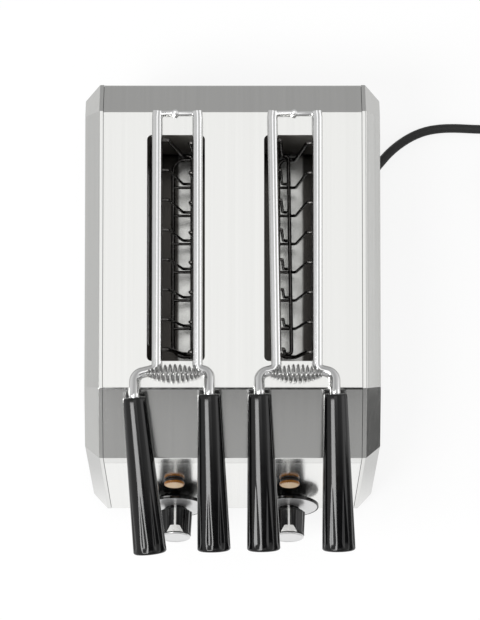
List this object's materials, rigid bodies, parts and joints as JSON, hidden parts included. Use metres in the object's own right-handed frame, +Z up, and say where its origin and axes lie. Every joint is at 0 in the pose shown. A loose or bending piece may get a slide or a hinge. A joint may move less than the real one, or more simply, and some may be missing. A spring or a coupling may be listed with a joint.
{
  "type": "sandwich toaster with wire tongs",
  "caption": "Counter-top sandwich toaster with long slots, sprung wire cage tongs with black grips, timer knobs, amber lamps and a rear crumb tray.",
  "frame": {"origin": "middle of the footprint's bounding box without the mains lead, on the table", "axes": "+X to the right seen from the control panel, +Y towards the back, +Z up"},
  "size_m": [0.5134, 0.4186, 0.1834],
  "materials": {
    "steel": "brushed",
    "inner_steel": "mill",
    "reflector": "bright",
    "chrome": "polished",
    "cage_wire": "heat darkened",
    "black_plastic": "gloss",
    "timer_plastic": "matt",
    "rubber": "matt",
    "silver_paint": "satin",
    "white_paint": "matt",
    "amber": "clear amber",
    "quartz": "clear",
    "ceramic": "matt",
    "brass": "turned"
  },
  "bodies": {
    "case": {"top_wrapper": "steel", "left_cheek": "steel", "right_cheek": "steel", "front_panel": "steel", "base_plate": "inner_steel", "left_front_foot": "rubber", "right_front_foot": "rubber", "left_back_foot": "rubber", "right_back_foot": "rubber", "front_bulkhead": "inner_steel", "back_bulkhead": "inner_steel", "left_chamber": "inner_steel", "right_chamber": "inner_steel", "left_outer_heaters": "quartz", "left_inner_heaters": "quartz", "right_inner_heaters": "quartz", "right_outer_heaters": "quartz", "left_reflector": "reflector", "centre_reflector": "reflector", "right_reflector": "reflector", "terminal_block": "ceramic", "cord_strain_relief": "rubber", "cord": "rubber", "cord_coil": "rubber", "plug": "rubber", "plug_pins": "chrome", "left_timer": "timer_plastic", "right_timer": "timer_plastic", "left_pilot_lamp": "amber", "right_pilot_lamp": "amber"},
    "tray": {"crumb_tray": "inner_steel"},
    "left_knob": {"left_timer_shaft": "brass", "left_knob_skirt": "black_plastic", "left_dial_ring": "silver_paint", "left_knob_grip": "black_plastic", "left_knob_cap": "silver_paint", "left_knob_pointer": "white_paint"},
    "right_knob": {"right_timer_shaft": "brass", "right_knob_skirt": "black_plastic", "right_dial_ring": "silver_paint", "right_knob_grip": "black_plastic", "right_knob_cap": "silver_paint", "right_knob_pointer": "white_paint"},
    "left_tong_hinge": {"left_tong_pin": "chrome", "left_tong_spring": "chrome"},
    "left_tong_left_half": {"left_tong_left_bar": "chrome", "left_tong_left_cage": "cage_wire", "left_tong_left_grip": "black_plastic"},
    "left_tong_right_half": {"left_tong_right_bar": "chrome", "left_tong_right_cage": "cage_wire", "left_tong_right_grip": "black_plastic"},
    "right_tong_hinge": {"right_tong_pin": "chrome", "right_tong_spring": "chrome"},
    "right_tong_left_half": {"right_tong_left_bar": "chrome", "right_tong_left_cage": "cage_wire", "right_tong_left_grip": "black_plastic"},
    "right_tong_right_half": {"right_tong_right_bar": "chrome", "right_tong_right_cage": "cage_wire", "right_tong_right_grip": "black_plastic"}
  },
  "joints": [
    {"name": "tray_slide", "type": "slide", "parent": "case", "child": "tray", "axis": [0, 1, 0], "range_m": [0, 0.21]},
    {"name": "left_timer_turn", "type": "hinge", "parent": "case", "child": "left_knob", "pos_m": [-0.0513, -0.16353, 0.04517], "axis": [0, 0.9409, -0.3387], "range_deg": [0, 300]},
    {"name": "right_timer_turn", "type": "hinge", "parent": "case", "child": "right_knob", "pos_m": [0.0501, -0.16353, 0.04517], "axis": [0, 0.9409, -0.3387], "range_deg": [0, 300]},
    {"name": "left_tong_lift", "type": "slide", "parent": "case", "child": "left_tong_hinge", "axis": [0, 0, 1], "range_m": [0, 0.13]},
    {"name": "right_tong_lift", "type": "slide", "parent": "case", "child": "right_tong_hinge", "axis": [0, 0, 1], "range_m": [0, 0.13]},
    {"name": "left_tong_open", "type": "hinge", "parent": "left_tong_hinge", "child": "left_tong_right_half", "pos_m": [-0.04909, 0.16697, 0.1648], "axis": [0, 0, 1], "range_deg": [0, 1], "stiffness_Nm_per_rad": 10, "deforming": ["left_tong_spring"]},
    {"name": "left_tong_open_left", "type": "hinge", "parent": "left_tong_hinge", "child": "left_tong_left_half", "pos_m": [-0.04909, 0.16697, 0.1648], "axis": [0, 0, 1], "range_deg": [-1, 0], "stiffness_Nm_per_rad": 10},
    {"name": "right_tong_open", "type": "hinge", "parent": "right_tong_hinge", "child": "right_tong_right_half", "pos_m": [0.05229, 0.16697, 0.1648], "axis": [0, 0, 1], "range_deg": [0, 1], "stiffness_Nm_per_rad": 10, "deforming": ["right_tong_spring"]},
    {"name": "right_tong_open_left", "type": "hinge", "parent": "right_tong_hinge", "child": "right_tong_left_half", "pos_m": [0.05229, 0.16697, 0.1648], "axis": [0, 0, 1], "range_deg": [-1, 0], "stiffness_Nm_per_rad": 10}
  ],
  "couplings": [
    {"joint": "left_tong_open_left", "follows": "left_tong_open", "ratio": -1},
    {"joint": "right_tong_open_left", "follows": "right_tong_open", "ratio": -1}
  ]
}
